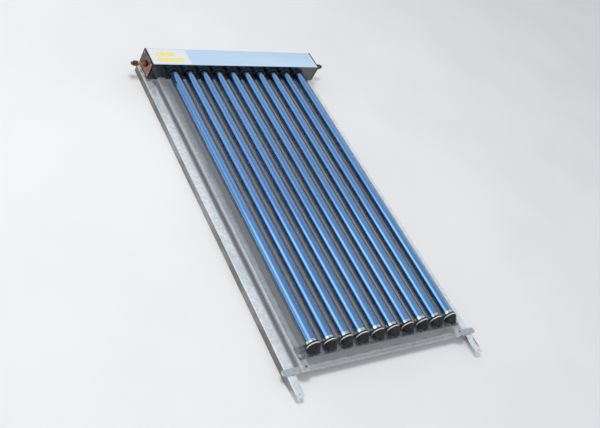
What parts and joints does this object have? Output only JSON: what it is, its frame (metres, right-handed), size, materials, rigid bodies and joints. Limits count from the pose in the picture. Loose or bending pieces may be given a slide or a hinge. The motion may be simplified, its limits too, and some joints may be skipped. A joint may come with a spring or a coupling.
{
  "type": "solar water heater",
  "caption": "Evacuated-tube solar collector that heats water: glass tubes between a header box and a bottom track, on a galvanised steel frame.",
  "frame": {"origin": "centre of the floor area that the collector covers, on the floor plane under the base rails", "axes": "+X along the header from its left end to its right end, +Y up the tubes towards the header, +Z away from the frame, to the sunny side"},
  "size_m": [1.272, 2.01, 0.158],
  "materials": {
    "tube_glass": "clear borosilicate, with a silver getter band at the foot",
    "absorber_coating": "dark blue selective coating behind clear glass",
    "copper": "bare copper, slightly tarnished",
    "black_rubber": "satin black",
    "polished_steel": "mirror-polished stainless sheet",
    "mineral_wool": "matt fibre",
    "dark_brass": "dark tarnish",
    "galvanised_steel": "hot-dip galvanised, with spangle",
    "zinc": "zinc plated"
  },
  "bodies": {
    "root": {"heat_pipe_01": "copper", "heat_pipe_02": "copper", "heat_pipe_03": "copper", "heat_pipe_04": "copper", "heat_pipe_05": "copper", "heat_pipe_06": "copper", "heat_pipe_07": "copper", "heat_pipe_08": "copper", "heat_pipe_09": "copper", "heat_pipe_10": "copper", "header_casing": "polished_steel", "header_underside": "polished_steel", "header_end_left": "polished_steel", "header_end_right": "polished_steel", "manifold_pipe": "copper", "header_insulation": "mineral_wool", "pipe_gland_left": "black_rubber", "pipe_gland_right": "black_rubber", "pipe_cap_left": "dark_brass", "pipe_cap_right": "dark_brass", "channel_rail_left": "galvanised_steel", "channel_rail_right": "galvanised_steel", "base_rail_left": "galvanised_steel", "base_rail_right": "galvanised_steel", "crossbar_lower": "galvanised_steel", "header_seat": "galvanised_steel", "bottom_track": "galvanised_steel", "track_bolt_left": "zinc", "track_bolt_right": "zinc"},
    "tube_01": {"glass_tube_01": "tube_glass", "absorber_tube_01": "absorber_coating"},
    "cup_01": {"end_cup_01": "black_rubber"},
    "tube_02": {"glass_tube_02": "tube_glass", "absorber_tube_02": "absorber_coating"},
    "cup_02": {"end_cup_02": "black_rubber"},
    "tube_03": {"glass_tube_03": "tube_glass", "absorber_tube_03": "absorber_coating"},
    "cup_03": {"end_cup_03": "black_rubber"},
    "tube_04": {"glass_tube_04": "tube_glass", "absorber_tube_04": "absorber_coating"},
    "cup_04": {"end_cup_04": "black_rubber"},
    "tube_05": {"glass_tube_05": "tube_glass", "absorber_tube_05": "absorber_coating"},
    "cup_05": {"end_cup_05": "black_rubber"},
    "tube_06": {"glass_tube_06": "tube_glass", "absorber_tube_06": "absorber_coating"},
    "cup_06": {"end_cup_06": "black_rubber"},
    "tube_07": {"glass_tube_07": "tube_glass", "absorber_tube_07": "absorber_coating"},
    "cup_07": {"end_cup_07": "black_rubber"},
    "tube_08": {"glass_tube_08": "tube_glass", "absorber_tube_08": "absorber_coating"},
    "cup_08": {"end_cup_08": "black_rubber"},
    "tube_09": {"glass_tube_09": "tube_glass", "absorber_tube_09": "absorber_coating"},
    "cup_09": {"end_cup_09": "black_rubber"},
    "tube_10": {"glass_tube_10": "tube_glass", "absorber_tube_10": "absorber_coating"},
    "cup_10": {"end_cup_10": "black_rubber"}
  },
  "joints": [
    {"name": "tube_slide_01", "type": "slide", "parent": "root", "child": "tube_01", "axis": [0, 1, 0], "range_m": [0, 0.02]},
    {"name": "cup_slide_01", "type": "slide", "parent": "root", "child": "cup_01", "axis": [0, -1, 0], "range_m": [0, 0.034]},
    {"name": "tube_slide_02", "type": "slide", "parent": "root", "child": "tube_02", "axis": [0, 1, 0], "range_m": [0, 0.02]},
    {"name": "cup_slide_02", "type": "slide", "parent": "root", "child": "cup_02", "axis": [0, -1, 0], "range_m": [0, 0.034]},
    {"name": "tube_slide_03", "type": "slide", "parent": "root", "child": "tube_03", "axis": [0, 1, 0], "range_m": [0, 0.02]},
    {"name": "cup_slide_03", "type": "slide", "parent": "root", "child": "cup_03", "axis": [0, -1, 0], "range_m": [0, 0.034]},
    {"name": "tube_slide_04", "type": "slide", "parent": "root", "child": "tube_04", "axis": [0, 1, 0], "range_m": [0, 0.02]},
    {"name": "cup_slide_04", "type": "slide", "parent": "root", "child": "cup_04", "axis": [0, -1, 0], "range_m": [0, 0.034]},
    {"name": "tube_slide_05", "type": "slide", "parent": "root", "child": "tube_05", "axis": [0, 1, 0], "range_m": [0, 0.02]},
    {"name": "cup_slide_05", "type": "slide", "parent": "root", "child": "cup_05", "axis": [0, -1, 0], "range_m": [0, 0.034]},
    {"name": "tube_slide_06", "type": "slide", "parent": "root", "child": "tube_06", "axis": [0, 1, 0], "range_m": [0, 0.02]},
    {"name": "cup_slide_06", "type": "slide", "parent": "root", "child": "cup_06", "axis": [0, -1, 0], "range_m": [0, 0.034]},
    {"name": "tube_slide_07", "type": "slide", "parent": "root", "child": "tube_07", "axis": [0, 1, 0], "range_m": [0, 0.02]},
    {"name": "cup_slide_07", "type": "slide", "parent": "root", "child": "cup_07", "axis": [0, -1, 0], "range_m": [0, 0.034]},
    {"name": "tube_slide_08", "type": "slide", "parent": "root", "child": "tube_08", "axis": [0, 1, 0], "range_m": [0, 0.02]},
    {"name": "cup_slide_08", "type": "slide", "parent": "root", "child": "cup_08", "axis": [0, -1, 0], "range_m": [0, 0.034]},
    {"name": "tube_slide_09", "type": "slide", "parent": "root", "child": "tube_09", "axis": [0, 1, 0], "range_m": [0, 0.02]},
    {"name": "cup_slide_09", "type": "slide", "parent": "root", "child": "cup_09", "axis": [0, -1, 0], "range_m": [0, 0.034]},
    {"name": "tube_slide_10", "type": "slide", "parent": "root", "child": "tube_10", "axis": [0, 1, 0], "range_m": [0, 0.02]},
    {"name": "cup_slide_10", "type": "slide", "parent": "root", "child": "cup_10", "axis": [0, -1, 0], "range_m": [0, 0.034]}
  ]
}
